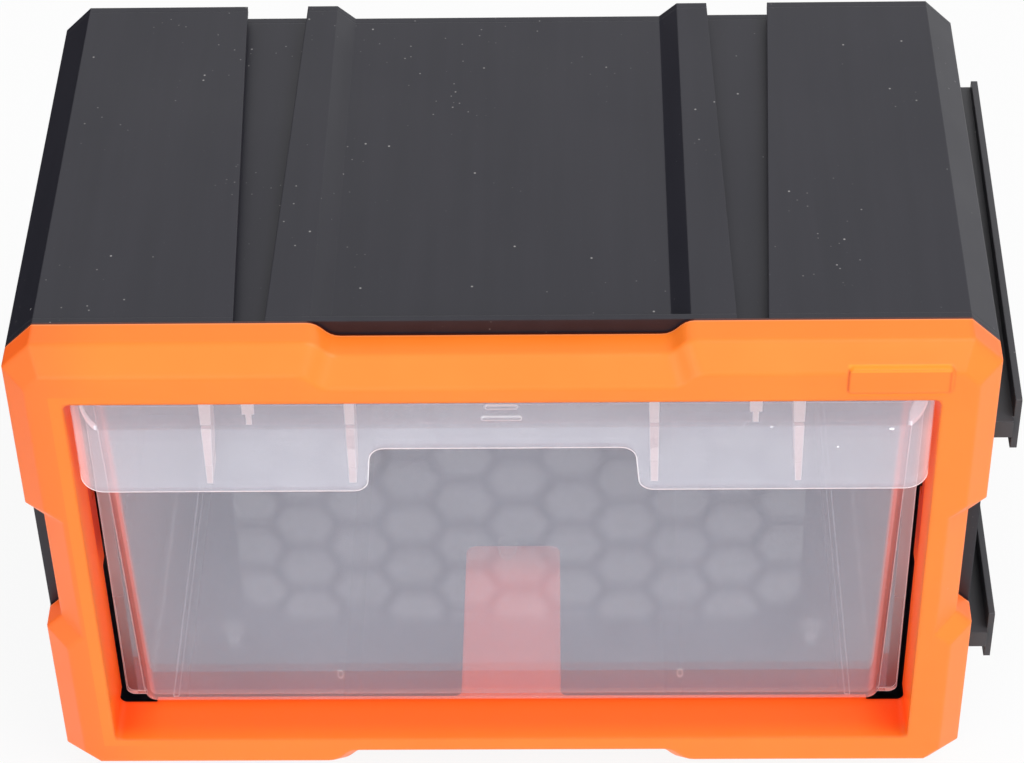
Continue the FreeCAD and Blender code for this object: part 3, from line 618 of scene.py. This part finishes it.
def dress_nodes():
    """Give each piece the finish that its slot names, and three of the drawer's pieces their own."""
    black = black_plastic()
    orange = orange_plastic()
    bin_tints = [bin_corners, bin_wings, bin_wing_feet, bin_front_foot, bin_ovals, bin_gate]
    plate_tints = [plate_top, plate_ends, plate_glints]
    rim_tints = [rim_corners, rim_front_line]
    clear_bin = clear_plastic("clear_plastic_bin", MILK, 0.20, bin_tints, wear=0.2)
    clear_plate = clear_plastic("clear_plastic_plate", PLATE_MILK, 0.35, plate_tints, wear=0.08,
                                edge_light=0.55, edge_radius=0.75 * MM, edge_place=plate_outline)
    # The rim's mauve and the webs' rose milk stand in for the bezel's orange light and shade on them:
    # painted light and shade
    clear_rim = clear_plastic("clear_plastic_rim", MAUVE, 0.12, rim_tints, edge_haze=0.15, edge_light=0.0)
    clear_web = clear_plastic("clear_plastic_webs", ROSE, 0.82, [web_light])
    finishes = {"black_plastic": black, "orange_plastic": orange, "clear_plastic": clear_bin}
    special = {
        "drawer_handle": clear_plate,
        "drawer_rim": clear_rim,
        "handle_webs": clear_web,
    }
    for name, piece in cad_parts.items():
        for place in piece.material_slots:
            place.material = special.get(name, finishes[place.material.name])


# The floor, the white surroundings and the lamps

FLOOR_HALF = 3.0
FLOOR_PALE = (0.86, 0.86, 0.86, 1.0)
FLOOR_DARK = (0.04, 0.04, 0.04, 1.0)
WHITE = (1.0, 1.0, 1.0, 1.0)
WORLD_LIGHT = 0.62


def floor_material():
    """Pale floor. It looks white, keeps a soft shadow, and gives no light back behind on the left."""
    material, tree = new_material("pale_floor")
    path = node(tree, "ShaderNodeLightPath")
    x, y, _ = axes(tree, object_place(tree))
    dark = product(tree, ranged(tree, x, -0.18, -0.38, 0.0, 1.0, smooth=True),
                   ranged(tree, y, -0.20, 0.0, 0.0, 1.0, smooth=True))
    tone = blended(tree, dark, FLOOR_PALE, FLOOR_DARK)
    matt = node(tree, "ShaderNodeBsdfDiffuse", {"Color": tone})
    white = node(tree, "ShaderNodeEmission", {"Color": WHITE, "Strength": 1.0})
    seen = product(tree, path.outputs["Is Camera Ray"], ranged(tree, dark, 0.0, 1.0, 0.90, 1.0))
    mirrored = product(tree, path.outputs["Is Glossy Ray"], ranged(tree, dark, 0.0, 1.0, 1.0, 0.0),
                       ranged(tree, y, 0.0, 0.35, 0.80, 0.45))
    mix = node(tree, "ShaderNodeMixShader", {"Fac": maths(tree, "ADD", seen, mirrored)})
    tree.links.new(matt.outputs["BSDF"], mix.inputs[1])
    tree.links.new(white.outputs["Emission"], mix.inputs[2])
    output(tree, mix.outputs["Shader"])
    return material


def make_floor():
    half = FLOOR_HALF
    mesh = bpy.data.meshes.new("floor")
    corners = [(-half, -half, 0), (half, -half, 0), (half, half, 0), (-half, half, 0)]
    mesh.from_pydata(corners, [], [(0, 1, 2, 3)])
    floor = bpy.data.objects.new("floor", mesh)
    floor.data.materials.append(floor_material())
    bpy.context.scene.collection.objects.link(floor)


def make_world():
    """White where the camera looks, softer as a light, with a dark side low behind on the left."""
    world = bpy.data.worlds.new("surroundings")
    bpy.context.scene.world = world
    world.use_nodes = True
    tree = world.node_tree
    tree.nodes.clear()
    path = node(tree, "ShaderNodeLightPath")
    towards = node(tree, "ShaderNodeTexCoord").outputs["Generated"]
    way = node(tree, "ShaderNodeSeparateXYZ", {"Vector": towards})
    left = ranged(tree, way.outputs["X"], -0.20, -0.50, 0.0, 1.0, smooth=True)
    behind = ranged(tree, way.outputs["Y"], -0.05, 0.25, 0.0, 1.0, smooth=True)
    low = ranged(tree, maths(tree, "ABSOLUTE", way.outputs["Z"]), 0.55, 0.35, 0.0, 1.0, smooth=True)
    dark = product(tree, left, behind, low)
    bright = ranged(tree, dark, 0.0, 1.0, 1.0, 0.05)
    lit = maths(tree, "MULTIPLY", bright, WORLD_LIGHT)
    mirrored = maths(tree, "MAXIMUM", path.outputs["Is Glossy Ray"], path.outputs["Is Transmission Ray"])
    strength = maths(tree, "ADD", maths(tree, "MULTIPLY", mirrored, bright),
                     maths(tree, "MULTIPLY", maths(tree, "SUBTRACT", 1.0, mirrored), lit))
    seen = path.outputs["Is Camera Ray"]
    strength = maths(tree, "MAXIMUM", seen, strength)
    light = node(tree, "ShaderNodeBackground", {"Color": WHITE, "Strength": strength})
    node(tree, "ShaderNodeOutputWorld", {"Surface": light.outputs["Background"]})


def make_lamp(name, place, target, size, power):
    lamp = bpy.data.lights.new(name, "AREA")
    lamp.shape = "RECTANGLE"
    lamp.size = size[0]
    lamp.size_y = size[1]
    lamp.energy = power
    holder = bpy.data.objects.new(name, lamp)
    aim = Vector(target) - Vector(place)
    holder.location = place
    holder.rotation_euler = aim.to_track_quat("-Z", "Y").to_euler()
    bpy.context.scene.collection.objects.link(holder)


def make_lamps():
    middle = (0.0, 0.0, 0.08)
    make_lamp("lamp_over_right", (0.8, -0.5, 1.4), middle, (1.2, 1.2), 14.0)
    make_lamp("lamp_front_left", (-0.7, -1.4, 0.7), middle, (1.2, 1.0), 8.0)


# The most clear faces that one ray passes: the drawer's walls, rim and webs lie behind one another

CLEAR_FACES_PASSED = 24

make_camera()
dress_nodes()
make_floor()
make_world()
make_lamps()

scene = bpy.context.scene
scene.view_settings.view_transform = "Standard"
scene.cycles.transparent_max_bounces = CLEAR_FACES_PASSED
